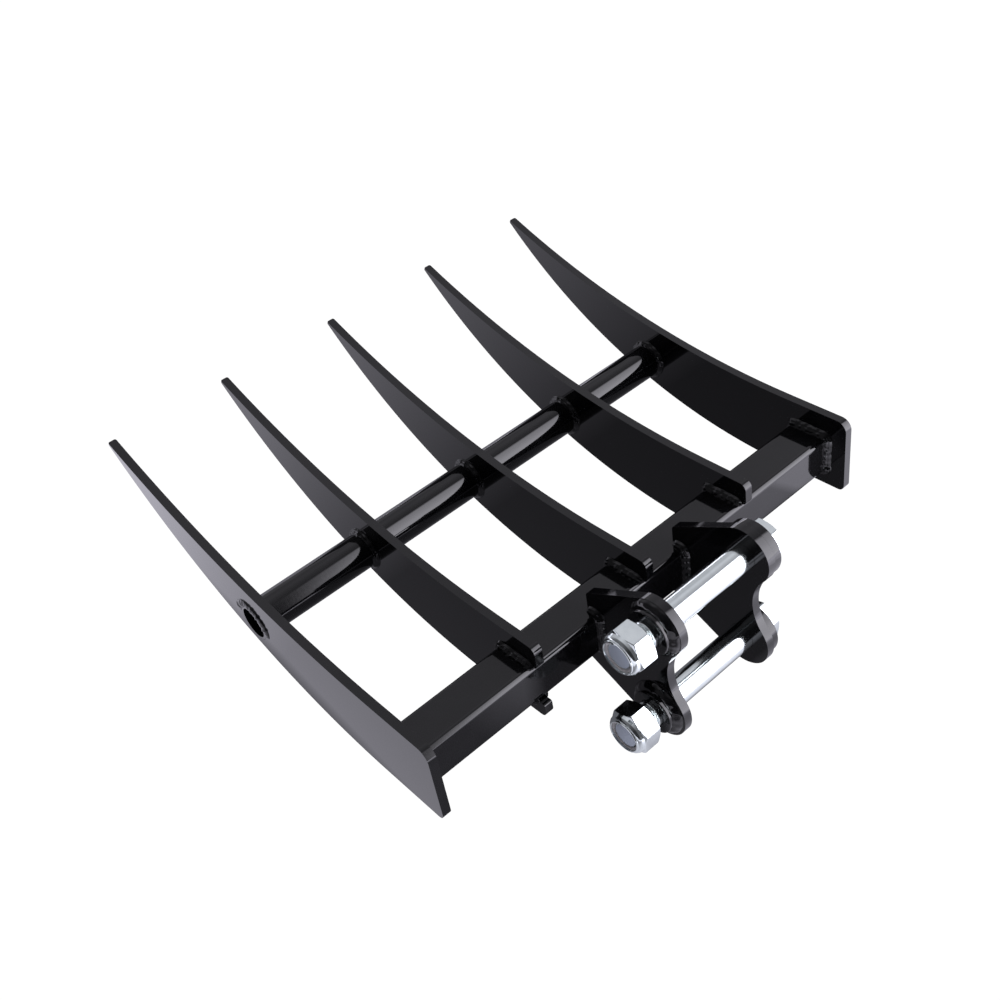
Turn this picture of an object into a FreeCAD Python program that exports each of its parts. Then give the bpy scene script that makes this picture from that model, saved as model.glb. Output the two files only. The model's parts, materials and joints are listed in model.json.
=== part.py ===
import FreeCAD, Part
import math
import os

os.makedirs("parts", exist_ok=True)

# A rake for a small excavator: five curved plate tines on a square beam, tied by a round
# cross tube, with two ears at the back that carry two hitch pins.
#
# The rake is drawn in the axes of its beam: X along the beam, Y towards the tine tips, Z out
# of the beam's top, all from the middle of the beam. At the end it is turned about X until it
# stands on the two lower ends of its ears and on the bellies of its tines, with Z = 0 as the
# ground. Lengths are in millimetres and angles in degrees.

# Plates and gaps
plate_thickness = 10.0
fit_gap = 0.2
overall_width = 624.0
inner_tine_offset = 156.5

# Square beam
beam_size = 50.0
beam_wall = 5.0
beam_corner_radius = 6.0

# Tines, measured from the faces of the beam
jaw_height = 28.4
jaw_depth = 18.2
top_straight = 8.0
belly_straight = 12.0
jaw_nose_overhang = 6.0
jaw_nose_top_radius = 8.0
jaw_nose_low_radius = 6.0
finger_overhang = 8.0
finger_radius = 8.0
finger_edge_radius = 2.0
mouth_corner_radius = 5.0
end_plate_overhang = 25.0
end_plate_top_radius = 13.0
end_plate_low_radius = 8.0

# Tine tips, measured from the middle of the beam
tip_reach = 493.2
tip_rise = 149.4
tip_thickness = 2.4
tip_angle = 33.0
tip_bulge = 0.9
tip_corner_radius = 3.0

# Cross tube
tube_diameter = 42.4
tube_wall = 3.0
tube_reach = 251.9
tube_web = 5.7

# Ears
ear_inside_gap = 118.4
upper_lip_length = 17.0
upper_lip_height = 21.8
upper_lip_radius = 6.0
lower_lip_length = 25.0
lower_lip_depth = 21.4
lower_lip_radius = 5.0
upper_lobe_radius = 33.0
lower_lobe_radius = 35.0
neck_radius = 60.0

# Hitch pins, measured from the middle of the beam
upper_pin_setback = 103.0
upper_pin_rise = 60.5
lower_pin_setback = 99.0
lower_pin_drop = 56.7
pin_diameter = 30.0
pin_clearance = 0.25
pin_end_chamfer = 1.5
pin_end_recess = 2.5

# Bushes that thicken the ears round the pins
left_bush_diameter = 50.0
right_bush_diameter = 64.0
bush_width = 10.8

# Bolt heads and lock nuts
hex_across_flats = 46.0
hex_chamfer_angle = 30.0
hex_face_share = 0.95
head_height = 12.7
upper_head_turn = 12.0
lower_head_turn = 34.0
upper_nut_turn = 4.0
lower_nut_turn = 40.0
bare_thread_length = 11.5
nut_hex_height = 22.2
nut_dome_height = 7.8
nut_dome_radius = 23.0
nut_dome_end_radius = 20.0
nut_lip_radius = 17.0
nut_lip_width = 2.0
nut_clearance = 0.1
ring_radius = 18.5
ring_width = 5.0

# Weld beads
beam_weld_leg = 6.0
tube_weld_leg = 4.5
bush_weld_leg = 7.0
weld_toe = 0.5
weld_bulge_share = 0.62
jaw_weld_stop = 1.0
rim_weld_width = 7.0
rim_weld_height = 3.5

# Places that follow from the sizes above
half_beam = beam_size / 2
half_width = overall_width / 2
outer_tine_offset = half_width - plate_thickness / 2
beam_half_length = half_width - plate_thickness
tine_offsets = [-outer_tine_offset, -inner_tine_offset, 0.0, inner_tine_offset, outer_tine_offset]
tube_radius = tube_diameter / 2
upper_pin = (-upper_pin_setback, upper_pin_rise)
lower_pin = (-lower_pin_setback, -lower_pin_drop)
ear_inner_face = ear_inside_gap / 2
ear_outer_face = ear_inner_face + plate_thickness
bush_outer_end = ear_outer_face + bush_width
pin_radius = pin_diameter / 2
nut_seat = bush_outer_end + bare_thread_length
nut_dome_seat = nut_seat + nut_hex_height
nut_end = nut_dome_seat + nut_dome_height
pin_end = nut_end - pin_end_recess
hex_corner_radius = hex_across_flats / math.sqrt(3)


# Flat geometry in the Y-Z plane

def polar(centre, radius, degrees):
    """The point at a radius and an angle, counted from +Y towards +Z."""
    turn = math.radians(degrees)
    return (centre[0] + radius * math.cos(turn), centre[1] + radius * math.sin(turn))


def direction(start, end):
    """The angle of the way from one point to another."""
    return math.degrees(math.atan2(end[1] - start[1], end[0] - start[0]))


def toward(start, end, length):
    """The point that lies a length from the start on the way to the end."""
    return polar(start, length, direction(start, end))


def tangent_angle(point, centre, radius, side):
    """The angle, seen from a circle's centre, where a line from the point touches the circle."""
    reach = math.dist(point, centre)
    swing = math.degrees(math.asin(radius / reach))
    return direction(point, centre) + side * (swing + 90.0)


def circle_crossing(first, first_radius, second, second_radius):
    """The crossing of two circles that lies to the right of the way from the first to the second."""
    span = math.dist(first, second)
    along = (first_radius ** 2 - second_radius ** 2 + span ** 2) / (2 * span)
    aside = math.sqrt(first_radius ** 2 - along ** 2)
    foot = toward(first, second, along)
    return polar(foot, aside, direction(first, second) - 90.0)


class Pen:
    """Draws an outline in the Y-Z plane, edge after edge."""

    def __init__(self, start):
        self.start = start
        self.here = start
        self.edges = []

    def line(self, end):
        if math.dist(self.here, end) > 1e-6:
            self.edges.append(Part.LineSegment(vector(self.here), vector(end)).toShape())
        self.here = end

    def arc(self, middle, end):
        self.edges.append(Part.Arc(vector(self.here), vector(middle), vector(end)).toShape())
        self.here = end

    def arc_about(self, centre, radius, first, last):
        self.arc(polar(centre, radius, (first + last) / 2), polar(centre, radius, last))

    def corner(self, corner, after, radius):
        """Runs straight to a corner and round it with a radius, facing the point after it."""
        before = self.here
        opening = math.radians(direction(corner, before) - direction(corner, after))
        half = abs(math.remainder(opening, 2 * math.pi)) / 2
        leg = radius / math.tan(half)
        start = toward(corner, before, leg)
        end = toward(corner, after, leg)
        middle_of_chord = ((start[0] + end[0]) / 2, (start[1] + end[1]) / 2)
        self.line(start)
        self.arc(toward(corner, middle_of_chord, radius / math.sin(half) - radius), end)

    def plate(self, x_low, thickness):
        """Closes the outline and gives it a thickness along X."""
        self.line(self.start)
        face = Part.Face(Part.Wire(self.edges))
        face.translate(FreeCAD.Vector(x_low, 0, 0))
        return face.extrude(FreeCAD.Vector(thickness, 0, 0))


def vector(point, x=0.0):
    return FreeCAD.Vector(x, point[0], point[1])


# Solids along X

def cylinder(centre, radius, x_low, x_high):
    """A round bar between two places along X, through a point of the Y-Z plane."""
    return Part.makeCylinder(radius, x_high - x_low, vector(centre, x_low), FreeCAD.Vector(1, 0, 0))


def turned(profile, centre, sweep=360.0):
    """A polygon of (x, radius) corners turned about the X line through a point."""
    corners = [FreeCAD.Vector(x, centre[0] + radius, centre[1]) for x, radius in profile]
    face = Part.Face(Part.makePolygon(corners + corners[:1]))
    return face.revolve(vector(centre), FreeCAD.Vector(1, 0, 0), sweep)


def hexagon_bar(centre, turn, x_low, x_high):
    """A hexagonal bar between two places along X, with one corner at the turn angle."""
    corners = [vector(polar(centre, hex_corner_radius, turn + 60.0 * side), x_low)
               for side in range(6)]
    face = Part.Face(Part.makePolygon(corners + corners[:1]))
    return face.extrude(FreeCAD.Vector(x_high - x_low, 0, 0))


def rounded_square(size, radius, x):
    """The wire of a square with round corners about the beam's middle, at a place along X."""
    half = size / 2
    pen = Pen((0.0, half))
    pen.corner((-half, half), (-half, -half), radius)
    pen.corner((-half, -half), (half, -half), radius)
    pen.corner((half, -half), (half, half), radius)
    pen.corner((half, half), (0.0, half), radius)
    pen.line(pen.start)
    wire = Part.Wire(pen.edges)
    wire.translate(FreeCAD.Vector(x, 0, 0))
    return wire


def square_bar(size, radius, x_low, x_high):
    face = Part.Face(rounded_square(size, radius, x_low))
    return face.extrude(FreeCAD.Vector(x_high - x_low, 0, 0))


# Tines

def level_arc_radius(start, end):
    """The radius of an arc that leaves its start level, along Y, and rises to its end."""
    run = end[0] - start[0]
    rise = end[1] - start[1]
    return (run ** 2 + rise ** 2) / (2 * rise)


def rising_middle(start, end):
    """The middle of the arc that leaves its start level and rises to its end."""
    radius = level_arc_radius(start, end)
    centre = (start[0], start[1] + radius)
    return polar(centre, radius, (direction(centre, end) - 90.0) / 2)


tine_top = half_beam + jaw_height
tine_bottom = -half_beam - jaw_depth
top_start = (half_beam + top_straight, tine_top)
belly_start = (half_beam + belly_straight, tine_bottom)
tip = (tip_reach, tip_rise)
tip_top = polar(tip, tip_thickness / 2, tip_angle + 90.0)
tip_low = polar(tip, tip_thickness / 2, tip_angle - 90.0)
tip_nose = polar(tip, tip_bulge, tip_angle)
belly_radius = level_arc_radius(belly_start, tip_low)
belly_centre = (belly_start[0], belly_start[1] + belly_radius)

# The cross tube runs through the plates at a set distance above their bellies
tube_orbit = belly_radius - tube_radius - tube_web
tube_drop = math.sqrt(tube_orbit ** 2 - (tube_reach - belly_centre[0]) ** 2)
tube_centre = (tube_reach, belly_centre[1] - tube_drop)


def blade(pen):
    """From the level underside: up the belly, round the tip and back down the top edge."""
    pen.line(belly_start)
    pen.arc(rising_middle(belly_start, tip_low), tip_low)
    pen.arc(tip_nose, tip_top)
    pen.arc(rising_middle(top_start, tip_top), top_start)


def round_tip(plate, x_low):
    """The plate with both corners of its tip rounded, as seen from above."""
    reach = 2 * plate_thickness
    for edge_x, inward in ((x_low, 1), (x_low + plate_thickness, -1)):
        low, high = sorted((edge_x - inward, edge_x + inward * tip_corner_radius))
        corner = Part.makeBox(high - low, tip_corner_radius + 1, 2 * reach,
                              FreeCAD.Vector(low, -tip_corner_radius, -reach))
        middle = FreeCAD.Vector(edge_x + inward * tip_corner_radius, -tip_corner_radius, -reach)
        corner = corner.cut(Part.makeCylinder(tip_corner_radius, 2 * reach, middle))
        corner.Placement = FreeCAD.Placement(vector(tip_nose, 0.0),
                                             FreeCAD.Rotation(FreeCAD.Vector(1, 0, 0), tip_angle))
        plate = plate.cut(corner)
    return plate


def drill_for_tube(tine, x_low):
    hole = cylinder(tube_centre, tube_radius + fit_gap, x_low - 1, x_low + plate_thickness + 1)
    return tine.cut(hole)


def inner_tine(offset):
    """A tine whose mouth is pushed over the beam, with a jaw above and a finger below."""
    x_low = offset - plate_thickness / 2
    mouth = half_beam + fit_gap
    nose = -half_beam - jaw_nose_overhang
    finger = -half_beam - finger_overhang
    pen = Pen(top_start)
    pen.corner((nose, tine_top), (nose, mouth), jaw_nose_top_radius)
    pen.corner((nose, mouth), (mouth, mouth), jaw_nose_low_radius)
    pen.corner((mouth, mouth), (mouth, -mouth), mouth_corner_radius)
    pen.corner((mouth, -mouth), (finger, -mouth), mouth_corner_radius)
    pen.corner((finger, -mouth), (finger, tine_bottom), finger_edge_radius)
    pen.corner((finger, tine_bottom), belly_start, finger_radius)
    blade(pen)
    plate = round_tip(pen.plate(x_low, plate_thickness), x_low)
    return drill_for_tube(plate, x_low)


def outer_tine(offset):
    """A tine that also closes the end of the beam."""
    x_low = offset - plate_thickness / 2
    rear = -half_beam - end_plate_overhang
    pen = Pen(top_start)
    pen.corner((rear, tine_top), (rear, tine_bottom), end_plate_top_radius)
    pen.corner((rear, tine_bottom), belly_start, end_plate_low_radius)
    blade(pen)
    plate = round_tip(pen.plate(x_low, plate_thickness), x_low)
    return drill_for_tube(plate, x_low)


# Beam and cross tube

def main_beam():
    outside = square_bar(beam_size, beam_corner_radius, -beam_half_length, beam_half_length)
    inside_radius = max(beam_corner_radius - beam_wall, 1.0)
    inside = square_bar(beam_size - 2 * beam_wall, inside_radius,
                        -beam_half_length, beam_half_length)
    return outside.cut(inside)


def cross_tube():
    outside = cylinder(tube_centre, tube_radius, -half_width, half_width)
    return outside.cut(cylinder(tube_centre, tube_radius - tube_wall, -half_width, half_width))


# Ears

def ear(x_low):
    """A plate with two lobes for the pins, a waist between them and a notch for the beam."""
    notch = half_beam + fit_gap
    upper_lip = -half_beam + upper_lip_length
    lower_lip = -half_beam + lower_lip_length
    upper_corner = (upper_lip, half_beam + upper_lip_height)
    lower_corner = (lower_lip, -half_beam - lower_lip_depth)
    waist = circle_crossing(upper_pin, upper_lobe_radius + neck_radius,
                            lower_pin, lower_lobe_radius + neck_radius)
    upper_touch = tangent_angle(upper_corner, upper_pin, upper_lobe_radius, -1) % 360.0
    lower_touch = tangent_angle(lower_corner, lower_pin, lower_lobe_radius, 1) % 360.0
    pen = Pen((upper_lip, notch))
    pen.corner(upper_corner, polar(upper_pin, upper_lobe_radius, upper_touch), upper_lip_radius)
    pen.line(polar(upper_pin, upper_lobe_radius, upper_touch))
    pen.arc_about(upper_pin, upper_lobe_radius, upper_touch, direction(upper_pin, waist) % 360.0)
    pen.arc_about(waist, neck_radius, direction(waist, upper_pin), direction(waist, lower_pin))
    pen.arc_about(lower_pin, lower_lobe_radius, direction(lower_pin, waist) % 360.0, lower_touch)
    pen.corner(lower_corner, (lower_lip, -notch), lower_lip_radius)
    pen.line((lower_lip, -notch))
    pen.corner((-notch, -notch), (-notch, notch), mouth_corner_radius)
    pen.corner((-notch, notch), (upper_lip, notch), mouth_corner_radius)
    plate = pen.plate(x_low, plate_thickness)
    for pin in (upper_pin, lower_pin):
        bore = cylinder(pin, pin_radius + pin_clearance, x_low - 1, x_low + plate_thickness + 1)
        plate = plate.cut(bore)
    return plate


def bush(pin, side, diameter):
    """A thick ring round a pin, flat on the outer face of an ear."""
    low, high = sorted((side * ear_outer_face, side * bush_outer_end))
    outside = cylinder(pin, diameter / 2, low, high)
    return outside.cut(cylinder(pin, pin_radius + pin_clearance, low, high))


# Pins, nuts and rings

def chamfer_height():
    face_radius = hex_face_share * hex_across_flats / 2
    return (hex_corner_radius - face_radius) * math.tan(math.radians(hex_chamfer_angle))


def hitch_pin(pin, turn):
    """A bolt with its hexagon head on the right and its threaded end on the left."""
    head_end = bush_outer_end + head_height
    face_radius = hex_face_share * hex_across_flats / 2
    envelope = turned([(bush_outer_end, 0.0), (bush_outer_end, hex_corner_radius),
                       (head_end - chamfer_height(), hex_corner_radius),
                       (head_end, face_radius), (head_end, 0.0)], pin)
    head = hexagon_bar(pin, turn, bush_outer_end, head_end).common(envelope)
    shank = turned([(-pin_end, 0.0), (-pin_end, pin_radius - pin_end_chamfer),
                    (-pin_end + pin_end_chamfer, pin_radius), (bush_outer_end, pin_radius),
                    (bush_outer_end, 0.0)], pin)
    return head.fuse(shank).removeSplitter()


def lock_nut(pin, turn):
    """A hexagon nut with a domed collar that holds a soft ring at its outer end."""
    face_radius = hex_face_share * hex_across_flats / 2
    rim = nut_dome_radius
    envelope = turned([(-nut_seat, 0.0), (-nut_seat, face_radius),
                       (-nut_seat - chamfer_height(), hex_corner_radius),
                       (-nut_dome_seat + (hex_corner_radius - rim) / 2, hex_corner_radius),
                       (-nut_dome_seat, rim), (-nut_dome_seat, 0.0)], pin)
    hexagon = hexagon_bar(pin, turn, -nut_dome_seat, -nut_seat).common(envelope)
    knee = (nut_dome_radius + nut_dome_end_radius) / 2 + 1.0
    dome = turned([(-nut_dome_seat, 0.0), (-nut_dome_seat, nut_dome_radius - 0.4),
                   (-nut_dome_seat - 0.6 * nut_dome_height, knee),
                   (-nut_end, nut_dome_end_radius), (-nut_end, 0.0)], pin)
    seat = -nut_end + nut_lip_width
    bore = cylinder(pin, pin_radius + nut_clearance, -nut_end - 1, -nut_seat + 1)
    pocket = cylinder(pin, ring_radius + fit_gap, seat, seat + ring_width)
    mouth = cylinder(pin, nut_lip_radius, -nut_end - 1, seat)
    return hexagon.fuse(dome).cut(bore).cut(pocket).cut(mouth).removeSplitter()


def nylon_ring(pin):
    """The soft ring in the nut's collar, which grips the thread."""
    seat = -nut_end + nut_lip_width
    outside = cylinder(pin, ring_radius, seat, seat + ring_width)
    return outside.cut(cylinder(pin, pin_radius + nut_clearance, seat, seat + ring_width))


# Weld beads

def bead_section(leg):
    """The free corners of a bead's section, as (distance from the face, height on the bar)."""
    bulge = weld_bulge_share * leg
    return [(0.0, leg), (bulge, bulge), (leg, weld_toe)]


def round_weld(centre, radius, face_x, side, leg):
    """A bead round a bar of a given radius, on the side of a face that the side names."""
    profile = [(face_x, radius)]
    profile += [(face_x + side * away, radius + height) for away, height in bead_section(leg)]
    profile += [(face_x + side * leg, radius)]
    return turned(profile, centre)


def square_weld(face_x, side, leg):
    """A bead round the beam, on the side of a face that the side names."""
    wires = [rounded_square(beam_size + 2 * height, beam_corner_radius + height,
                            face_x + side * away) for away, height in bead_section(leg)]
    low, high = sorted((face_x, face_x + side * leg))
    body = Part.makeLoft(wires, True, True)
    return body.cut(square_bar(beam_size, beam_corner_radius, low - 1, high + 1))


def keep_between(shape, y_low, y_high, z_low, z_high):
    """The part of a shape that lies inside a range of Y and of Z."""
    box = Part.makeBox(2 * half_width, y_high - y_low, z_high - z_low,
                       FreeCAD.Vector(-half_width, y_low, z_low))
    return shape.common(box)


def tine_beam_weld(offset):
    """Beads along the beam on both sides of an inner tine, which stop short of its nose."""
    far = beam_size
    beads = []
    for side in (-1, 1):
        ring = square_weld(offset + side * plate_thickness / 2, side, beam_weld_leg)
        beads.append(keep_between(ring, -half_beam + jaw_weld_stop, far, -far, far))
    return Part.makeCompound(beads)


def end_beam_weld(offset):
    """The bead round the beam's end, on the inner face of an outer tine."""
    side = 1 if offset < 0 else -1
    return square_weld(offset + side * plate_thickness / 2, side, beam_weld_leg)


def ear_beam_weld(side):
    """Beads on both faces of an ear, over its upper lip, down the beam and under the lower lip."""
    far = beam_size
    upper_stop = -half_beam + upper_lip_length - jaw_weld_stop
    lower_stop = -half_beam + lower_lip_length - jaw_weld_stop
    beads = []
    for face_x, out in ((side * ear_inner_face, -side), (side * ear_outer_face, side)):
        ring = square_weld(face_x, out, beam_weld_leg)
        upper = keep_between(ring, -far, upper_stop, 0.0, far)
        lower = keep_between(ring, -far, lower_stop, -far, 0.0)
        beads.append(upper.fuse(lower).removeSplitter())
    return Part.makeCompound(beads)


def rim_weld(face_x, side):
    """The bead that closes the upper half of the gap round the tube's open end."""
    middle = tube_radius + rim_weld_width / 2 - 2.0
    half = rim_weld_width / 2
    shoulder_height = 0.7 * rim_weld_height
    profile = [(face_x, middle - half), (face_x + side * shoulder_height, middle - 0.6 * half),
               (face_x + side * rim_weld_height, middle),
               (face_x + side * shoulder_height, middle + 0.6 * half), (face_x, middle + half)]
    return turned(profile, tube_centre, 180.0)


def tine_tube_weld(offset):
    """Beads round the tube on both faces of a tine; an outer tine has a rim bead outside."""
    beads = []
    for side in (-1, 1):
        face_x = offset + side * plate_thickness / 2
        if abs(face_x) > half_width - plate_thickness / 2:
            beads.append(rim_weld(face_x, side))
        else:
            beads.append(round_weld(tube_centre, tube_radius, face_x, side, tube_weld_leg))
    return Part.makeCompound(beads)


# All pieces in the axes of the beam
pieces = {}
for number, offset in enumerate(tine_offsets, start=1):
    is_outer = number in (1, len(tine_offsets))
    pieces[f"tine_{number}"] = outer_tine(offset) if is_outer else inner_tine(offset)
    pieces[f"weld_beam_{number}"] = end_beam_weld(offset) if is_outer else tine_beam_weld(offset)
    pieces[f"weld_tube_{number}"] = tine_tube_weld(offset)

pieces["main_beam"] = main_beam()
pieces["cross_tube"] = cross_tube()

for side_name, side in (("left", -1), ("right", 1)):
    x_low = min(side * ear_inner_face, side * ear_outer_face)
    pieces[f"ear_{side_name}"] = ear(x_low)
    pieces[f"weld_ear_{side_name}"] = ear_beam_weld(side)

for pin_name, pin, head_turn, nut_turn in (("upper", upper_pin, upper_head_turn, upper_nut_turn),
                                           ("lower", lower_pin, lower_head_turn, lower_nut_turn)):
    pieces[f"pin_{pin_name}"] = hitch_pin(pin, head_turn)
    pieces[f"lock_nut_{pin_name}"] = lock_nut(pin, nut_turn)
    pieces[f"nylon_ring_{pin_name}"] = nylon_ring(pin)
    pieces[f"bush_{pin_name}_left"] = bush(pin, -1, left_bush_diameter)
    pieces[f"bush_{pin_name}_right"] = bush(pin, 1, right_bush_diameter)
    pieces[f"weld_bush_{pin_name}_left"] = round_weld(pin, left_bush_diameter / 2,
                                                      -ear_outer_face, -1, bush_weld_leg)

# The rest pose: one straight line of ground touches the lower lobes and the bellies
lobe_to_belly = direction(lower_pin, belly_centre)
ground_slope = math.degrees(math.asin(
    (belly_radius - lower_lobe_radius) / math.dist(lower_pin, belly_centre)))
rest_turn = ground_slope - lobe_to_belly


def rested(point):
    """A point of the Y-Z plane after the turn about X."""
    return polar((0.0, 0.0), math.hypot(*point), direction((0.0, 0.0), point) + rest_turn)


rest_lift = lower_lobe_radius - rested(lower_pin)[1]
back_end = rested(lower_pin)[0] - lower_lobe_radius
front_end = rested(tip_nose)[0]
rest_place = FreeCAD.Placement(FreeCAD.Vector(0, -(back_end + front_end) / 2, rest_lift),
                               FreeCAD.Rotation(FreeCAD.Vector(1, 0, 0), rest_turn))

for name, shape in pieces.items():
    shape.Placement = rest_place.multiply(shape.Placement)
    shape.exportStep(f"parts/{name}.step")

print(f"{len(pieces)} pieces, turned {rest_turn:.4f} degrees, lifted {rest_lift:.3f} mm,")
print(f"moved back {(back_end + front_end) / 2:.3f} mm, depth {front_end - back_end:.1f} mm,")
print(f"pin spacing {math.dist(upper_pin, lower_pin):.2f} mm")
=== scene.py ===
# %% [markdown]
# # A gloss black excavator rake in Blender
#
# The rake is welded from plate, square tube and round tube, and it hangs on two zinc-plated
# bolts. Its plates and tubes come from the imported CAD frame, with their real sizes. This
# lesson gives them their paint, and works out with numpy the pieces whose look depends on fine
# form: the weld beads, the bolts with their threads, the lock nuts and the rings inside them.

# %% Load the frame
import json

import bmesh
import bpy
import numpy as np
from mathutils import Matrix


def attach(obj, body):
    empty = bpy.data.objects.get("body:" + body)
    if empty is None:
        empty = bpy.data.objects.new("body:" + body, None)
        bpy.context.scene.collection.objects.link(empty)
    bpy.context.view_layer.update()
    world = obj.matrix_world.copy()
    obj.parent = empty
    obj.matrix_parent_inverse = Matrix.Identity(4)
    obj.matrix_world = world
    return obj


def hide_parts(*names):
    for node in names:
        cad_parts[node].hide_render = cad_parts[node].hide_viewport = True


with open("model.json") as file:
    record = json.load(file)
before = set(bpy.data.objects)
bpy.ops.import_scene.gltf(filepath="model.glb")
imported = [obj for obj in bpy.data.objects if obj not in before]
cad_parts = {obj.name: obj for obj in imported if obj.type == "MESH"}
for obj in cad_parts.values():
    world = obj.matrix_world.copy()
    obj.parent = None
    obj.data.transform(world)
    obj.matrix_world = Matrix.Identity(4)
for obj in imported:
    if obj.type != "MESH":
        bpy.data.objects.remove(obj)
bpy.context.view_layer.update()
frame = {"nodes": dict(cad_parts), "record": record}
MM = 0.001
print("nodes in the frame:", len(frame["nodes"]))

# %% [markdown]
# ## Camera
#
# The photograph looks down on the rake from the left of the hitch. The camera's place, turn
# and lens were fitted to edges of the rake that have known sizes, so they are plain numbers.

# %% Camera
camera_place = (-0.63933, -0.65500, 1.11301)
camera_turn = (40.590, -0.802, -42.601)
camera_lens = 44.348

camera_data = bpy.data.cameras.new("camera")
camera_data.lens = camera_lens
camera_data.sensor_width = 36.0
camera = bpy.data.objects.new("camera", camera_data)
camera.location = camera_place
camera.rotation_euler = np.radians(camera_turn)
bpy.context.scene.collection.objects.link(camera)
bpy.context.scene.camera = camera
print("camera at", camera_place, "with a lens of", camera_lens, "mm")

# %% [markdown]
# ## Node helpers
#
# Materials and light are both built from nodes. These short functions add one node each.

# %% Node helpers
def new_material(name):
    """An empty node material with a principled shader; returns the material and the shader."""
    material = bpy.data.materials.new(name)
    material.use_nodes = True
    return material, material.node_tree.nodes["Principled BSDF"]


def add(tree, kind, **values):
    """Adds a node of a kind; a name with a capital is one of its sockets, the rest are settings."""
    node = tree.nodes.new("ShaderNode" + kind)
    for name, value in values.items():
        if name[0].isupper():
            node.inputs[name.replace("_", " ")].default_value = value
        else:
            setattr(node, name, value)
    return node


def link(tree, source, output, target, socket):
    """Joins a node's output to a node's socket, each given by its name or number."""
    tree.links.new(source.outputs[output], target.inputs[socket])


def maths(tree, operation, first, second=None):
    """A Math node on two inputs, each of them a number or a node's output."""
    node = add(tree, "Math", operation=operation)
    for socket, value in zip(node.inputs, (first, second)):
        if isinstance(value, (int, float)):
            socket.default_value = value
        elif value is not None:
            tree.links.new(value, socket)
    return node.outputs[0]


def spread(tree, value, low, high, to_low, to_high):
    """The stretch low..high of a value laid over to_low..to_high, and held there outside it."""
    node = add(tree, "MapRange", From_Min=low, From_Max=high, To_Min=to_low, To_Max=to_high)
    tree.links.new(value, node.inputs["Value"])
    return node.outputs["Result"]


# %% [markdown]
# ## The floor that the camera sees
#
# Gloss black paint shows little of its own colour: what the eye sees is the room in it. So the
# room is made first. In the photograph the white ground was cut out afterwards, yet the paint
# still mirrors the real table. So there are two floors. This one is a photographer's cove, a
# plain pale floor that bends up into a wall, so that a low view ends in it too. Only the camera
# sees it.

# %% Pale cove
bpy.context.scene.view_settings.view_transform = "Standard"
floor_size = 12.0
cove_bend = 1.0


def stage_surface(name, points, faces, material):
    """A mesh that isn't part of the rake: the floor, or what the paint mirrors."""
    mesh = bpy.data.meshes.new(name)
    mesh.from_pydata(points, [], faces)
    mesh.materials.append(material)
    surface = bpy.data.objects.new(name, mesh)
    bpy.context.scene.collection.objects.link(surface)
    return surface


def glow(name, strength, colour=(1.0, 1.0, 1.0, 1)):
    """A material that shines by itself; strength is a number, or a function that makes a socket."""
    material = bpy.data.materials.new(name)
    material.use_nodes = True
    tree = material.node_tree
    tree.nodes.remove(tree.nodes["Principled BSDF"])
    shine = add(tree, "Emission", Color=colour)
    link(tree, shine, "Emission", tree.nodes["Material Output"], "Surface")
    if callable(strength):
        tree.links.new(strength(tree), shine.inputs["Strength"])
    else:
        shine.inputs["Strength"].default_value = strength
    return material


def cove(name, material):
    """A round floor whose rim bends up into a wall: a profile carried round the upright axis.

    The profile is a quarter circle from the floor's level up to an upright line, which is as high
    as the floor's radius. One flat face fills the floor inside the bend.
    """
    radius = floor_size / 2
    bend = np.radians(np.linspace(0, 90, 13))
    reach = np.append(radius - cove_bend * (1 - np.sin(bend)), radius)[:, None]
    height = np.append(cove_bend * (1 - np.cos(bend)), radius)[:, None]
    turns = np.radians(np.arange(0, 360, 5))[None, :]
    points = np.stack([reach * np.cos(turns), reach * np.sin(turns), height + 0 * turns], -1)
    index = np.arange(points[..., 0].size).reshape(points.shape[:2])
    beside = np.roll(index, -1, axis=1)
    faces = np.stack([index[:-1], index[1:], beside[1:], beside[:-1]], -1).reshape(-1, 4).tolist()
    return stage_surface(name, points.reshape(-1, 3), faces + [index[0].tolist()], material)


floor = cove("floor", glow("pale_floor", 1.04))
floor.visible_glossy = floor.visible_diffuse = floor.visible_shadow = False
print("the pale cove has", len(floor.data.polygons), "faces")

# %% [markdown]
# ## The table that the paint mirrors
#
# The second floor lies a millimetre lower, and only reflections see it. The tines' sides mirror
# it: it is dim under the rake, and lighter beside it, behind it and in front of the hitch. Its
# levels were read off the paint in the photograph and then written as a few straight ramps of the
# place. A painted picture of the table would do the same, but a ramp can be read and changed.
# It glows as a lit table would, and its dim part under the rake is the rake's shadow, painted into that glow.

# %% Shaded table
table_drop = 0.001
# The first level is the table's glow in the rake's painted shadow; the other three are added where it is
# lighter.
painted_shadow_level, table_beside, table_behind, table_front = 0.13, 0.62, 0.84, 0.72
tint_of_table = (0.97, 0.95, 1.08, 1)


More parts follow.
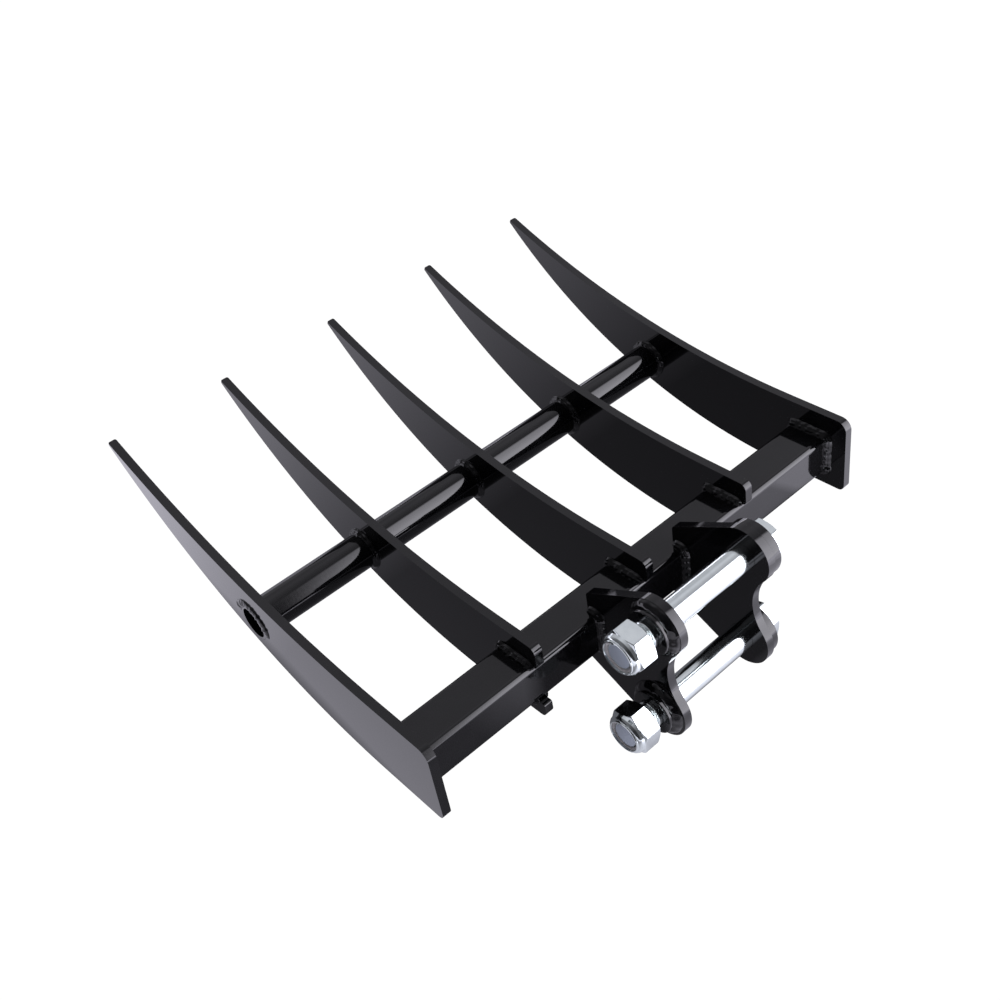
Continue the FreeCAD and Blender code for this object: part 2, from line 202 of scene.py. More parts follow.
def table_light(tree):
    """The table's glow: the dim level, which is the rake's painted shadow, plus a ramp of the place for each
    lighter part.

    'beside' is a ramp of how far the place lies from the middle along the beam, 'behind' one of
    its distance towards the tips. 'front' begins at an edge before the beam, which lies further
    out where the hitch throws its shade, and it grows all the way to the soft box; its left end
    is dark.
    """
    place = add(tree, "TexCoord")
    split = add(tree, "SeparateXYZ")
    link(tree, place, "Object", split, "Vector")
    x, y = split.outputs["X"], split.outputs["Y"]
    beside = spread(tree, maths(tree, "ABSOLUTE", x), 0.305, 0.322, 0.0, table_beside)
    behind = spread(tree, y, 0.03, 0.40, 0.0, table_behind)
    from_hitch = maths(tree, "ABSOLUTE", maths(tree, "SUBTRACT", x, 0.03))
    edge = spread(tree, from_hitch, 0.12, 0.17, 0.31, 0.245)
    before = maths(tree, "SUBTRACT", maths(tree, "MULTIPLY", y, -1.0), edge)
    near = spread(tree, before, 0.0, 0.04, 0.0, table_front)
    far = spread(tree, before, 0.04, 1.0, 0.0, 3.0)
    not_left = spread(tree, x, -0.20, -0.08, 0.13, 1.0)
    front = maths(tree, "MULTIPLY", maths(tree, "ADD", near, far), not_left)
    total = maths(tree, "ADD", maths(tree, "ADD", beside, behind), front)
    return maths(tree, "ADD", total, painted_shadow_level)


half_table = floor_size / 2
signs = np.array([(-1, -1), (1, -1), (1, 1), (-1, 1)])
corners = np.column_stack([signs * half_table, np.full(4, -table_drop)])
table = stage_surface("table", corners, [(0, 1, 2, 3)], glow("shaded_table", table_light, tint_of_table))
table.visible_camera = False
print("the table's levels:", painted_shadow_level, "under the rake,", table_beside, "more beside it")

# %% [markdown]
# ## The sky
#
# The rest of the room is the world itself. One broad soft box fills the front right, from the
# floor to nearly overhead: it is the long streak on the cross tube and the white on the bolts.
# The ceiling behind it is pale and gets lighter towards the back, and the left is dark. There are no lamps,
# because gloss paint shows each of them as a thin bright line.

# %% Ceiling and soft box
box_low, box_high = 5.6, 3.4
tint_of_sky = (0.98, 0.965, 1.05, 1)


def make_sky():
    """The ceiling's brightness plus the soft box's, as ramps of the way that a ray goes.

    'rise' is the angle over the front horizon, seen along the beam: 0 in front, a right angle
    overhead and a half turn at the back. The box lies right of a set share of X. In a world,
    the coordinate named Generated is the ray's direction.
    """
    world = bpy.data.worlds.new("sky")
    world.use_nodes = True
    tree = world.node_tree
    background = tree.nodes["Background"]
    background.inputs["Color"].default_value = tint_of_sky
    way = add(tree, "TexCoord")
    split = add(tree, "SeparateXYZ")
    link(tree, way, "Generated", split, "Vector")
    x = split.outputs["X"]
    rise = maths(tree, "ARCTAN2", split.outputs["Z"], maths(tree, "MULTIPLY", split.outputs["Y"], -1.0))
    ceiling = spread(tree, rise, np.radians(55), np.radians(120), 0.12, 0.64)
    back_dip = spread(tree, rise, np.radians(128), np.radians(142), 0.0, 0.14)
    ceiling = maths(tree, "SUBTRACT", ceiling, back_dip)
    ceiling = maths(tree, "MULTIPLY", ceiling, spread(tree, x, -0.45, -0.10, 0.25, 1.0))
    below_top = spread(tree, rise, np.radians(76), np.radians(85), 1.0, 0.0)
    inside = maths(tree, "MULTIPLY", spread(tree, x, 0.27, 0.37, 0.0, 1.0), below_top)
    level = spread(tree, rise, np.radians(35), np.radians(80), box_low, box_high)
    box = maths(tree, "MULTIPLY", inside, level)
    tree.links.new(maths(tree, "ADD", ceiling, box), background.inputs["Strength"])
    bpy.context.scene.world = world


make_sky()
print("the soft box shines with", box_low, "low down and", box_high, "high up")

# %% [markdown]
# ## Patterns for the finishes
#
# No real finish is one flat colour. Noise in the object's own coordinates gives each its clouds,
# grain and wipe marks, and a Bevel node finds the edges, where a coat is thin.

# %% Pattern helpers
def streaked(tree, stretch, scale, detail=3.0):
    """Noise of the object's own coordinates, squeezed or stretched by a factor on each axis."""
    place = add(tree, "TexCoord")
    mapping = add(tree, "Mapping", Scale=stretch)
    link(tree, place, "Object", mapping, "Vector")
    noise = add(tree, "TexNoise", Scale=scale, Detail=detail)
    link(tree, mapping, "Vector", noise, "Vector")
    return noise.outputs["Fac"]


def two_tones(tree, value, dark, light):
    """A colour between two, mixed by a value from 0 to 1."""
    node = add(tree, "Mix", data_type="RGBA")
    tree.links.new(value, node.inputs[0])
    node.inputs[6].default_value, node.inputs[7].default_value = (*dark, 1), (*light, 1)
    return node.outputs[2]


def edge_share(tree, radius):
    """1 on an edge and 0 on a face: how far a rounded normal leans away from the plain one."""
    rounded = add(tree, "Bevel", samples=4, Radius=radius * MM)
    plain = add(tree, "NewGeometry")
    lean = add(tree, "VectorMath", operation="DOT_PRODUCT")
    link(tree, rounded, "Normal", lean, 0)
    link(tree, plain, "Normal", lean, 1)
    return spread(tree, lean.outputs["Value"], 0.80, 0.99, 1.0, 0.0)


def raised(tree, height, depth, shader):
    """Bumps the shader's normal by a height between 0 and 1 that stands depth mm high."""
    bump = add(tree, "Bump", Strength=1.0, Distance=depth * MM)
    tree.links.new(height, bump.inputs["Height"])
    tree.links.new(bump.outputs["Normal"], shader.inputs["Normal"])


EVENLY = (1.0, 1.0, 1.0)

# %% [markdown]
# ## Gloss black paint
#
# The steel is painted gloss black. It could be a black base under a clear coat, but one dark,
# smooth surface mirrors the same and exports plainly. Wipe marks run along the tubes and change
# the gloss a little, the coat is a touch uneven, and on edges it is thinner and greyer in specks.
# Orange peel is a bump of a few thousandths of a millimetre, twice as high on the weld beads.

# %% Gloss black paint
def black_paint(name, peel):
    """Gloss black over steel: orange peel, faint wipe marks, and a thinner coat on the edges."""
    material, shader = new_material(name)
    tree = material.node_tree
    smears = streaked(tree, (9.0, 22.0, 22.0), 1.0)
    coat = streaked(tree, EVENLY, 38.0)
    chips = streaked(tree, EVENLY, 900.0, 2.0)
    edges = edge_share(tree, 1.2)
    worn = maths(tree, "MULTIPLY", edges, spread(tree, chips, 0.56, 0.66, 0.0, 1.0))
    base = two_tones(tree, spread(tree, coat, 0.3, 0.7, 0.0, 1.0),
                     (0.0028, 0.0028, 0.0034), (0.0050, 0.0050, 0.0056))
    thin = add(tree, "Mix", data_type="RGBA")
    tree.links.new(worn, thin.inputs[0])
    tree.links.new(base, thin.inputs[6])
    thin.inputs[7].default_value = (0.035, 0.033, 0.032, 1)
    tree.links.new(thin.outputs[2], shader.inputs["Base Color"])
    gloss = spread(tree, smears, 0.35, 0.72, 0.045, 0.085)
    tree.links.new(maths(tree, "ADD", gloss, maths(tree, "MULTIPLY", worn, 0.18)), shader.inputs["Roughness"])
    shader.inputs["IOR"].default_value = 1.5
    raised(tree, streaked(tree, EVENLY, 330.0, 1.0), peel, shader)
    return material


paint = black_paint("gloss_black_paint", 0.006)
weld_paint = black_paint("weld_black_paint", 0.012)
print("paints:", paint.name, "and", weld_paint.name)

# %% [markdown]
# ## Bright zinc plate
#
# Zinc is a bare metal skin, so its colour is the colour of its mirror, cool and a little green.
# A fine turned grain runs round the bolts, and a milky film makes patches of it duller. The
# flat ends of the threads are duller and bluer, as a sawn face is.

# %% Bright zinc plate
def zinc(name, cut_end=0.0):
    """Bright zinc plate: a silky grain round the bolt, a patchy milky film and a few dull spots.

    cut_end is the share of duller, bluer plating on the sawn end of the bolt's thread.
    """
    material, shader = new_material(name)
    tree = material.node_tree
    grain = streaked(tree, (2600.0, 90.0, 90.0), 1.0, 2.0)
    film = streaked(tree, EVENLY, 70.0, 4.0)
    spots = spread(tree, streaked(tree, EVENLY, 520.0, 2.0), 0.66, 0.74, 0.0, 1.0)
    colour = two_tones(tree, spread(tree, film, 0.3, 0.7, 0.0, 1.0), (0.75, 0.81, 0.81), (0.84, 0.90, 0.89))
    place = add(tree, "TexCoord")
    split = add(tree, "SeparateXYZ")
    link(tree, place, "Object", split, "Vector")
    cut = spread(tree, split.outputs["X"], -0.1186, -0.1184, cut_end, 0.0)
    ends = add(tree, "Mix", data_type="RGBA")
    tree.links.new(cut, ends.inputs[0])
    tree.links.new(colour, ends.inputs[6])
    ends.inputs[7].default_value = (0.66, 0.72, 0.80, 1)
    tree.links.new(ends.outputs[2], shader.inputs["Base Color"])
    shader.inputs["Metallic"].default_value = 1.0
    rough = maths(tree, "ADD", spread(tree, film, 0.3, 0.7, 0.07, 0.13), maths(tree, "MULTIPLY", grain, 0.05))
    rough = maths(tree, "ADD", rough, maths(tree, "MULTIPLY", cut, 0.5))
    rough = maths(tree, "ADD", rough, maths(tree, "MULTIPLY", spots, 0.12))
    tree.links.new(rough, shader.inputs["Roughness"])
    raised(tree, grain, 0.006, shader)
    return material


bolt_zinc, nut_zinc = zinc("bolt_zinc_plating", 1.0), zinc("zinc_plating")
print("zinc plates:", bolt_zinc.name, "and", nut_zinc.name)

# %% [markdown]
# ## Nylon
#
# The lock nuts grip the thread with a ring of moulded nylon. It is milky white, soft in its
# gloss, and as finely grained as its mould.

# %% Nylon
def nylon(name):
    """Moulded nylon, milky white: clouds of tone and a fine grain."""
    material, shader = new_material(name)
    tree = material.node_tree
    clouds = streaked(tree, EVENLY, 160.0)
    colour = two_tones(tree, spread(tree, clouds, 0.3, 0.7, 0.0, 1.0), (0.62, 0.60, 0.60), (0.80, 0.77, 0.76))
    tree.links.new(colour, shader.inputs["Base Color"])
    tree.links.new(spread(tree, clouds, 0.3, 0.7, 0.34, 0.48), shader.inputs["Roughness"])
    raised(tree, streaked(tree, EVENLY, 2600.0, 2.0), 0.02, shader)
    return material


ring_nylon = nylon("nylon")
print("plastic:", ring_nylon.name)

# %% [markdown]
# ## Finishes on the frame's nodes
#
# The record names a material slot for each node. Every node gets the finish of its slot here;
# the nodes that finer pieces replace later keep it too, out of sight.

# %% Finishes on the frame's nodes
finishes = {"black_paint": paint, "painted_weld": weld_paint, "zinc_plate": nut_zinc, "nylon": ring_nylon}
for entry in frame["record"]["subparts"]:
    node = frame["nodes"][entry["node"]]
    node.data.materials.clear()
    node.data.materials.append(finishes[entry["material_slot"]])

# %% [markdown]
# ## Beam axes
#
# The rake was drawn along its beam: X runs along the beam, Y points to the tine tips and the
# beam's middle is the zero of Y and Z. In the frame it stands on the ground, which turns it a
# little about X. New pieces are worked out in beam axes, in millimetres, and turned at the end.

# %% Beam axes
REST_TURN = np.radians(-13.2336)
REST_SHIFT = np.array([0.0, -185.400, 67.531])


def stand(points):
    """Points of the beam axes in mm as places of the frame in metres: turned about X, then moved."""
    x, y, z = np.moveaxis(np.asarray(points, float), -1, 0)
    turned = np.stack([x, y * np.cos(REST_TURN) - z * np.sin(REST_TURN),
                       y * np.sin(REST_TURN) + z * np.cos(REST_TURN)], axis=-1)
    return (turned + REST_SHIFT) * MM


print("the beam's middle stands at", stand([0, 0, 0]).round(4))

# %% [markdown]
# ## From a grid to a closed surface
#
# Every new piece is a grid of points, worked out for a whole array at once. Its columns always
# join up round the section. Its rows either join up too, as on a ring, or end in a flat cap.

# %% Grids to surfaces
def grid_faces(rows, columns, closed, start):
    """The quads of a grid whose columns wrap round, and two caps where its rows end."""
    index = start + np.arange(rows * columns).reshape(rows, columns)
    beside = np.roll(index, -1, axis=1)
    if closed:
        above, above_beside = np.roll(index, -1, axis=0), np.roll(beside, -1, axis=0)
    else:
        index, above, beside, above_beside = index[:-1], index[1:], beside[:-1], beside[1:]
    faces = np.stack([index, beside, above_beside, above], -1).reshape(-1, 4).tolist()
    if not closed:
        faces += [index[0].tolist()[::-1], above[-1].tolist()]
    return faces


print("a closed grid of 3 rows and 4 columns has", len(grid_faces(3, 4, True, 0)), "quads")


def new_piece(name, grids, material, node, sharp_angle=32):
    """A piece from a list of (grid of points in beam axes, whether its rows close)."""
    points, faces, start = [], [], 0
    for grid, closed in grids:
        rows, columns = grid.shape[:2]
        faces += grid_faces(rows, columns, closed, start)
        points.append(stand(grid).reshape(-1, 3))
        start += rows * columns
    mesh = bpy.data.meshes.new(name)
    mesh.from_pydata(np.concatenate(points), [], faces)
    shape = bmesh.new()
    shape.from_mesh(mesh)
    bmesh.ops.recalc_face_normals(shape, faces=shape.faces)
    shape.to_mesh(mesh)
    shape.free()
    mesh.shade_smooth()
    mesh.set_sharp_from_angle(angle=np.radians(sharp_angle))
    mesh.materials.append(material)
    piece = bpy.data.objects.new(name, mesh)
    bpy.context.scene.collection.objects.link(piece)
    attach(piece, "root")
    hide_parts(node)
    return piece


# %% [markdown]
# ## Weld beads
#
# A welder pushes one puddle after the other, and each one freezes with a rounded crest that
# lags at its toes. Along the way the hand speeds up and slows down, so the bead swells, thins
# and wanders. The beads here are swept along their real joints, and a sum of sines that fits
# the joint a whole number of times gives the wander, so that a closed bead meets itself.

# %% Weld beads
STEP = 0.45


def wander(along, total, lengths, seed):
    """A smooth wander between -1 and 1: the mean of sines of the share of the way along.

    Each sine has the whole number of waves that comes nearest to its length in mm, so that the
    wander of a closed bead meets itself. The seed shifts each of them by a part of a wave.
    """
    waves = [np.sin(2 * np.pi * (max(1, round(total / length)) * along + 0.618 * (seed + 1.7 * k)))
             for k, length in enumerate(lengths)]
    return sum(waves) / len(waves)


def even_steps(points, ups, closed):
    """The same path in even steps of about STEP mm, by straight lines between its points.

    Returns the points, their 'up' directions made one long, each step's share of the way and
    the whole length.
    """
    if closed:
        points, ups = np.vstack([points, points[:1]]), np.vstack([ups, ups[:1]])
    run = np.concatenate([[0], np.cumsum(np.linalg.norm(np.diff(points, axis=0), axis=1))])
    count = int(round(run[-1] / STEP))
    share = np.linspace(0, 1, count, endpoint=not closed)
    at = share * run[-1]
    points = np.stack([np.interp(at, run, points[:, k]) for k in range(3)], -1)
    ups = np.stack([np.interp(at, run, ups[:, k]) for k in range(3)], -1)
    return points, ups / np.linalg.norm(ups, axis=1, keepdims=True), share, run[-1]


def ripples(along, across, total, seed, wave):
    """Crests of frozen puddles, from 0 to 1: one less the 1.8th power of how far a crest lies.

    So they are round on top and sharp between. They lag at the toes by the square of the
    distance from the bead's middle.
    """
    count = max(1, round(total / wave))
    place = count * along + 0.9 * wander(along, total, (13.0, 29.0), seed + 5)
    part = (place - 0.8 * (2 * across - 1) ** 2) % 1.0
    return 1 - np.abs(2 * part - 1) ** 1.8


def corner_bead(points, ups, out, leg, closed, seed, round_share=0.35, ripple=0.10, ropes=0.26, lumps=1.0):
    """A bead in a corner. Its section turns from the bar to the face about the corner line.

    The reach at each angle lies between a flat bead's chord, leg / (cos + sin), and a round
    bead's arc, the leg itself. Two ropes run along it, as a cosine of the angle with two crests.
    Ripples and lumps are added too, and the bead shrinks at open ends.
    """
    points, ups, along, total = even_steps(points, ups, closed)
    along = along[:, None]
    across = np.linspace(-0.05, 1.05, 23)[None, :]
    angle = across * np.pi / 2
    chord = np.minimum(1 / (np.cos(angle) + np.sin(angle)), 1.03)
    reach = leg * (round_share + (1 - round_share) * chord)
    middle = np.clip(np.sin(np.pi * across), 0, 1)
    reach = reach * (1 + 0.10 * lumps * wander(along, total, (17.0, 41.0, 9.0), seed))
    swell = wander(along + 0.02 * across, total, (13.0, 8.3, 21.0), seed + 3)
    reach = reach + 0.11 * leg * lumps * middle * swell
    weave = 0.25 + 0.05 * wander(along, total, (11.0, 6.1), seed + 8)
    reach = reach + ropes * middle * np.cos(4 * np.pi * (across - weave)) * (0.7 + 0.3 * swell)
    strong = 0.6 + 0.6 * wander(along, total, (7.0, 19.0), seed + 11)
    reach = reach + ripple * strong * middle * (ripples(along, across, total, seed, 3.1) - 0.5)
    if not closed:
        to_end = np.minimum(along, 1 - along) * total
        reach = reach * (0.35 + 0.65 * np.sqrt(np.clip(to_end / leg, 0, 1)))
    section_out, section_up = reach * np.cos(angle), reach * np.sin(angle)
    back = np.full_like(along, -0.4)
    section_out, section_up = np.hstack([section_out, back]), np.hstack([section_up, back])
    out = np.asarray(out, float)
    grid = (points[:, None, :] + section_up[..., None] * out + section_out[..., None] * ups[:, None, :])
    return grid, closed


def mound_bead(points, ups, out, width, height, seed):
    """A low bead over a seam in a face: half an ellipse across, with the same ripples.

    Across the bead, the side step is half the width times a cosine and the height is a sine.
    Both shrink towards the ends as the square root of the way to them.
    """
    points, ups, along, total = even_steps(points, ups, False)
    along = along[:, None]
    across = np.linspace(-0.04, 1.04, 15)[None, :]
    middle = np.clip(np.sin(np.pi * across), 0, 1)
    taper = np.sqrt(np.clip(np.minimum(along, 1 - along) * total / width, 0.04, 1))
    wide = width * (1 + 0.12 * wander(along, total, (15.0, 33.0, 9.0), seed)) * (0.5 + 0.5 * taper)
    side = -0.5 * wide * np.cos(np.pi * across)
    high = height * taper * np.sin(np.pi * across) * (1 + 0.2 * wander(along, total, (8.0, 5.0), seed + 2))
    high = high + 0.16 * middle * taper * (ripples(along, across, total, seed, 2.4) - 0.5)
    back = np.full_like(along, -0.5)
    side, high = np.hstack([side, 0 * along]), np.hstack([high, back])
    grid = points[:, None, :] + high[..., None] * np.asarray(out, float) + side[..., None] * ups[:, None, :]
    return grid, False


# %% [markdown]
# ## The paths that the beads follow
#
# A bead needs the line of its joint and, at each point, the way out of the bar. Round the beam
# that line is a rounded square, of which an inner tine or an ear covers only a part. Round the
# cross tube and the bushes it is a circle.

# %% Paths of the joints
BEAM_HALF, BEAM_CORNER = 25.0, 6.0


def beam_path(x, keep=None):
    """The beam's outline at a place along X, or the run of it that keep picks.

    Four quarter circles about the corners' centres, at half the beam less the corner's radius,
    joined by straight sides. The outward direction on a quarter is (cos, sin) of its angle.
    """
    half, corner = BEAM_HALF, BEAM_CORNER
    turns = np.radians(np.concatenate([np.linspace(90.0 * k, 90.0 * k + 90, 13) for k in range(4)]))
    ups = np.stack([0 * turns, np.cos(turns), np.sin(turns)], -1)
    quarter = np.repeat([[0, 1, 1], [0, -1, 1], [0, -1, -1], [0, 1, -1]], 13, axis=0)
    points = quarter * (half - corner) + corner * ups + [x, 0, 0]
    if keep is None:
        return points, ups
    points, ups, _, _ = even_steps(points, ups, True)
    kept = keep(points[:, 1], points[:, 2])
    first = np.flatnonzero(kept & ~np.roll(kept, 1))[0]
    order = np.roll(np.arange(len(kept)), -first)
    order = order[kept[order]]
    return points[order], ups[order]


def circle_path(x, centre, radius, start=0.0, sweep=360.0):
    """A circle or an arc of one in the Y-Z plane: the centre plus the radius times (cos, sin).

    Angles are in degrees and count from +Y to +Z.
    """
    turns = np.radians(start + np.linspace(0, sweep, 181))
    if sweep == 360.0:
        turns = turns[:-1]
    ups = np.stack([0 * turns, np.cos(turns), np.sin(turns)], -1)
    return np.array([x, *centre]) + radius * ups, ups


PLATE = 10.0
TUBE_CENTRE = (251.9, 22.6)
TUBE_RADIUS = 21.2
LEFT_BUSH_RADIUS = 25.0
UPPER_PIN, LOWER_PIN = (-103.0, 60.5), (-99.0, -56.7)
TINE_OFFSETS = (-307.0, -156.5, 0.0, 156.5, 307.0)
EAR_INSIDE, EAR_OUTSIDE = 59.2, 69.2
print("the beam's outline is", round(8 * (BEAM_HALF - BEAM_CORNER) + 2 * np.pi * BEAM_CORNER, 1), "mm long")

# %% [markdown]
# ## Beads on the tines, the ears and the bushes
#
# Each plate is welded on both of its sides. The outer tines' outer sides have no bead at the
# beam, which they close, and a low mound over the seam at the tube's open end. The ring round
# each left bush is a heavier bead and smoother than the rest.

# %% Beads in their places
def jaw_run(y, z):
    """The stretch of the beam's outline that an inner tine's mouth covers."""
    return y > -24


def ear_run(y, z):
    """The stretch of the beam's outline that an ear covers: over its lips and down the front."""
    return np.where(z > 0, y < -9, y < -1)


for number, offset in enumerate(TINE_OFFSETS, start=1):
    outer = number in (1, 5)
    beam_beads, tube_beads = [], []
    for side in (-1, 1):
        face = offset + side * PLATE / 2
        seed = 3 * number + side
        inward = abs(face) < 310
        if outer and inward:
            leg = 5.4 if number == 1 else 6.6
            beam_beads.append(corner_bead(*beam_path(face), (side, 0, 0), leg, True, seed))
        elif not outer:
            beam_beads.append(corner_bead(*beam_path(face, jaw_run), (side, 0, 0), 6.6, False, seed))
        if inward:
            ring = circle_path(face, TUBE_CENTRE, TUBE_RADIUS)
            tube_beads.append(corner_bead(*ring, (side, 0, 0), 5.2, True, seed + 7))
        else:
            rim = circle_path(face, TUBE_CENTRE, 25.2, 12, 184)
            tube_beads.append(mound_bead(*rim, (side, 0, 0), 10.0, 2.4, seed + 7))
    new_piece(f"beam_bead_{number}", beam_beads, weld_paint, f"weld_beam_{number}")
    new_piece(f"tube_bead_{number}", tube_beads, weld_paint, f"weld_tube_{number}")

for side_name, side in (("left", -1), ("right", 1)):
    beads = [corner_bead(*beam_path(side * EAR_INSIDE, ear_run), (-side, 0, 0), 6.4, False, 31 + side),
             corner_bead(*beam_path(side * EAR_OUTSIDE, ear_run), (side, 0, 0), 6.4, False, 35 + side)]
    new_piece(f"ear_bead_{side_name}", beads, weld_paint, f"weld_ear_{side_name}")
for pin_name, pin, seed in (("upper", UPPER_PIN, 41), ("lower", LOWER_PIN, 47)):
    ring = circle_path(-EAR_OUTSIDE, pin, LEFT_BUSH_RADIUS)
    beads = [corner_bead(*ring, (-1, 0, 0), 7.2, True, seed,
                         round_share=0.6, ripple=0.03, ropes=0.10, lumps=0.5)]
    new_piece(f"bush_bead_{pin_name}", beads, weld_paint, f"weld_bush_{pin_name}_left")

# %% [markdown]
# ## Bolts, lock nuts and their soft rings
#
# The hitch is held by two M30 bolts with hexagon heads and two lock nuts. Each could be cut from
# a hexagonal bar with booleans, but a turned surface is cleaner: its radius is a function of the
# place along the bolt and the angle round it. A hexagon's reach is its half width across flats
# over the cosine of the angle to the nearest flat's middle. The forging's chamfer is a cone, and
# the lesser of the two is the head, with a little rounding where they meet. The thread is a
# ridge that moves on by one pitch a turn. The nut ends in a cone and a lip that is crimped over
# its nylon ring.

# %% Turned surfaces
ANGLES = np.radians(np.arange(0, 360, 2.5))


def hexagon_reach(turn, half_width=23.0):
    """The reach of a hexagon in each direction: half its width over the cosine from a flat's middle.

    Its corners are worn back a quarter of a millimetre.
    """
    off = (np.degrees(ANGLES) - turn) % 60 - 30
    reach = half_width / np.cos(np.radians(off))
    return soft_least(reach, half_width * 2 / np.sqrt(3) - 0.25, 0.12)


def soft_least(a, b, rounding):
    """The lesser of two sizes, less a soft term that is largest where they are equal."""
    nearer = np.minimum(a, b)
    return nearer - rounding * np.log1p(np.exp(-np.abs(a - b) / rounding))


def around(x, radius, centre):
    """The grid of a turned surface: a row for each place along X, a column for each angle.

    Y and Z are the centre's, plus the radius times the angle's cosine and sine.
    """
    y = centre[0] + radius * np.cos(ANGLES)
    z = centre[1] + radius * np.sin(ANGLES)
    return np.stack([np.broadcast_to(x[:, None], radius.shape), y, z], -1)


def profile_rows(points, spacing=1.5):
    """A profile of (x, radius, whether it is hexagonal) corners, with even rows between them."""
    rows = [points[0]]
    for (x0, r0, _), (x1, r1, hexed) in zip(points[:-1], points[1:]):
        count = max(1, int(np.ceil(np.hypot(x1 - x0, r1 - r0) / spacing)))
        part = np.linspace(0, 1, count + 1)[1:]
        rows += [(x0 + (x1 - x0) * t, r0 + (r1 - r0) * t, hexed) for t in part]
    x, radius, hexed = np.array(rows, float).T
    return x, radius, hexed > 0.5


def thread_depth(x, root_start, root_end, pitch=3.5, depth=1.85):
    """How far the thread cuts in: a triangle wave of the place in pitches plus the turn's share.

    Its tops and roots are cut flat, and it fades out at both of its ends.
    """
    part = (x[:, None] / pitch + ANGLES[None, :] / (2 * np.pi)) % 1.0
    ridge = np.clip(np.abs(2 * part - 1) * 1.25 - 0.12, 0, 1)
    fade = np.clip((root_end - x) / 3.0, 0, 1) * np.clip((x - root_start) / 1.5, 0, 1)
    return depth * ridge * fade[:, None]


print("each turned surface has", len(ANGLES), "columns")


# %% Bolts, nuts and rings
def hitch_bolt(name, node, centre, turn):
    """The whole bolt as one turned surface, from its threaded end to the top of its head."""
    shank = [(-118.8, 12.6, 0), (-118.7, 13.1, 0), (-117.3, 15.0, 0)]
    shank += [(x, 15.0, 0) for x in np.arange(-117.25, -80, 0.25)]
    shank += [(79.6, 15.0, 0), (79.9, 15.4, 0), (80.0, 15.6, 0)]
    head = [(80.0, 19.4, 0), (80.5, 20.2, 1), (81.0, 25.0, 1), (93.6, 25.0, 1), (95.9, 20.4, 1),
            (96.3, 19.6, 0), (96.4, 19.0, 0), (96.4, 12.0, 0)]
    x, radius, hexed = profile_rows(shank + head, 0.6)
    flats = hexagon_reach(turn, 20.5)[None, :]
    reach = np.where(hexed[:, None], soft_least(flats, radius[:, None], 0.18), radius[:, None])
    reach = reach - thread_depth(x, -118.6, -83.0)
    return new_piece(name, [(around(x, reach, centre), False)], bolt_zinc, node)


def lock_nut(name, node, centre, turn):
    """The nut as a closed ring: up its flats, over its dome and crimped lip, and down its bore."""
    flats = [(-91.5, 15.3, 0), (-91.5, 21.4, 0), (-91.9, 22.2, 1), (-94.4, 27.2, 1),
             (-111.7, 27.2, 1), (-113.6, 23.4, 1)]
    dome = [(-113.8, 23.0, 0), (-114.3, 22.9, 0), (-117.0, 22.3, 0), (-118.8, 21.2, 0), (-119.9, 19.9, 0),
            (-120.0, 19.3, 0)]
    lip = [(-120.5, 19.3, 0), (-121.2, 18.9, 0), (-121.5, 18.3, 0), (-121.4, 17.6, 0), (-120.9, 17.2, 0),
           (-119.6, 17.1, 0), (-119.5, 18.6, 0), (-114.4, 18.6, 0), (-114.4, 15.1, 0),
           (-91.9, 15.1, 0), (-91.5, 15.3, 0)]
    x, radius, hexed = profile_rows(flats + dome + lip, 0.8)
    reach = np.where(hexed[:, None], soft_least(hexagon_reach(turn)[None, :], radius[:, None], 0.18),
                     radius[:, None])
    return new_piece(name, [(around(x[:-1], reach[:-1], centre), True)], nut_zinc, node)


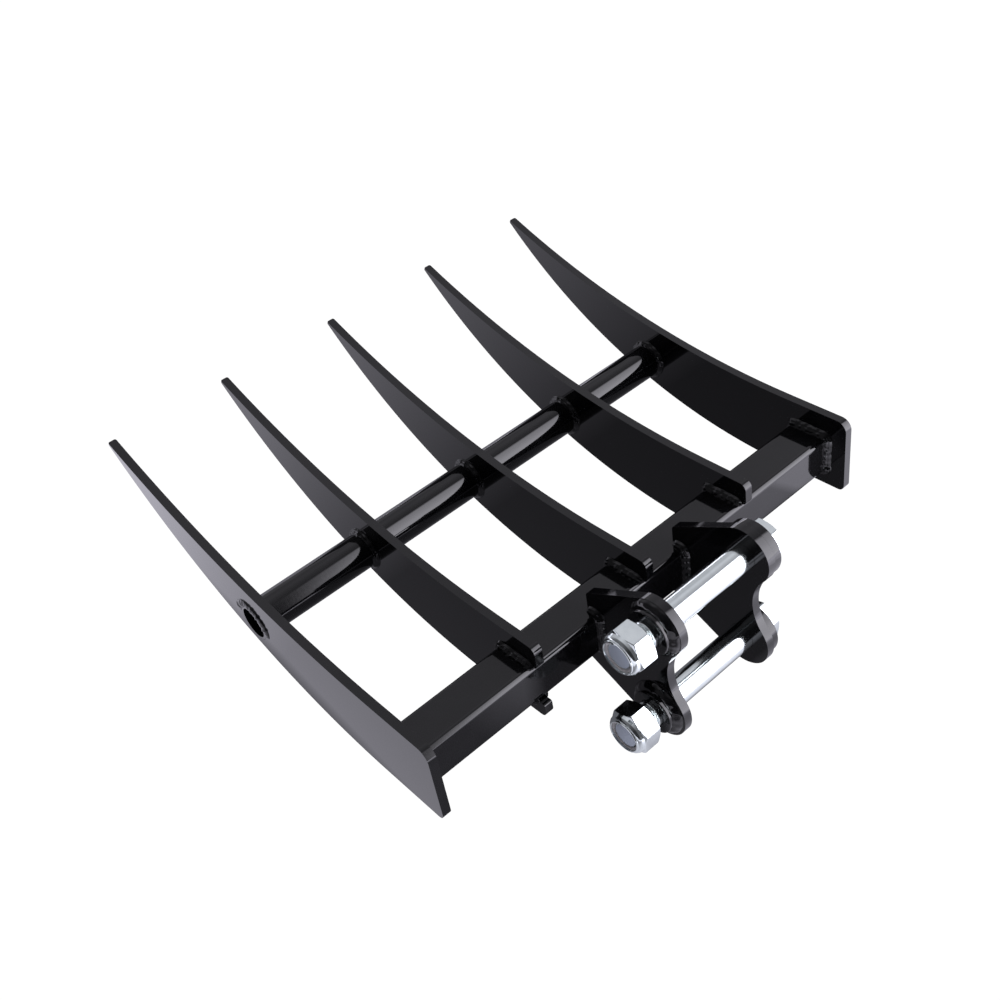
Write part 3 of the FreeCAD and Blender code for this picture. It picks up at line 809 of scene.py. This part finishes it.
def soft_ring(name, node, centre):
    """The nylon ring, with its visible corner rounded where the crimped lip presses on it."""
    arc = np.radians(np.linspace(0, 90, 7))
    rows = [(-114.5, 15.15, 0), (-114.5, 18.5, 0), (-119.3, 18.5, 0), (-119.4, 17.1, 0)]
    rows += [(-119.4 + 0.9 * (1 - np.cos(a)), 16.05 - 0.9 * np.sin(a), 0) for a in arc]
    rows += [(-114.5, 15.15, 0)]
    x, radius, _ = profile_rows(rows, 1.2)
    reach = np.repeat(radius[:, None], len(ANGLES), axis=1)
    return new_piece(name, [(around(x[:-1], reach[:-1], centre), True)], ring_nylon, node)


for pin_name, pin, head_turn, nut_turn in (("upper", UPPER_PIN, 10, 7), ("lower", LOWER_PIN, 35, 40)):
    hitch_bolt(f"hitch_bolt_{pin_name}", f"pin_{pin_name}", pin, head_turn)
    lock_nut(f"domed_nut_{pin_name}", f"lock_nut_{pin_name}", pin, nut_turn)
    soft_ring(f"soft_ring_{pin_name}", f"nylon_ring_{pin_name}", pin)
    bolt = bpy.data.objects[f"hitch_bolt_{pin_name}"]
    print("the", pin_name, "bolt has", len(bolt.data.polygons), "faces")

# %% [markdown]
# ## Rounded plate edges
#
# Paint pulls round an edge, and the cut plate has a small burr rolled off, so no edge is sharp.
# The frame's meshes stay as they are: a Weld modifier joins their loose triangles, a Bevel rounds
# the edges that it then finds, and Weighted Normal keeps the flat faces flat in the mirror.

# %% Rounded plate edges
def round_edges(node_name, width):
    """Rounds a node's edges over a width in mm, in two steps, where faces meet at 40 degrees or more."""
    node = frame["nodes"][node_name]
    weld = node.modifiers.new("join_points", "WELD")
    weld.merge_threshold = 0.005 * MM
    bevel = node.modifiers.new("rounded_edges", "BEVEL")
    bevel.width = width * MM
    bevel.segments = 2
    bevel.limit_method = "ANGLE"
    bevel.angle_limit = np.radians(40)
    bevel.use_clamp_overlap = True
    normals = node.modifiers.new("even_normals", "WEIGHTED_NORMAL")
    normals.weight = 50
    normals.keep_sharp = False


plates = [f"tine_{k}" for k in range(1, 6)] + ["ear_left", "ear_right"]
bushes = [f"bush_{pin}_{side}" for pin in ("upper", "lower") for side in ("left", "right")]
for node_name in plates:
    round_edges(node_name, 0.7)
for node_name in bushes:
    round_edges(node_name, 0.9)
print("rounded:", len(plates), "plates and", len(bushes), "bushes")
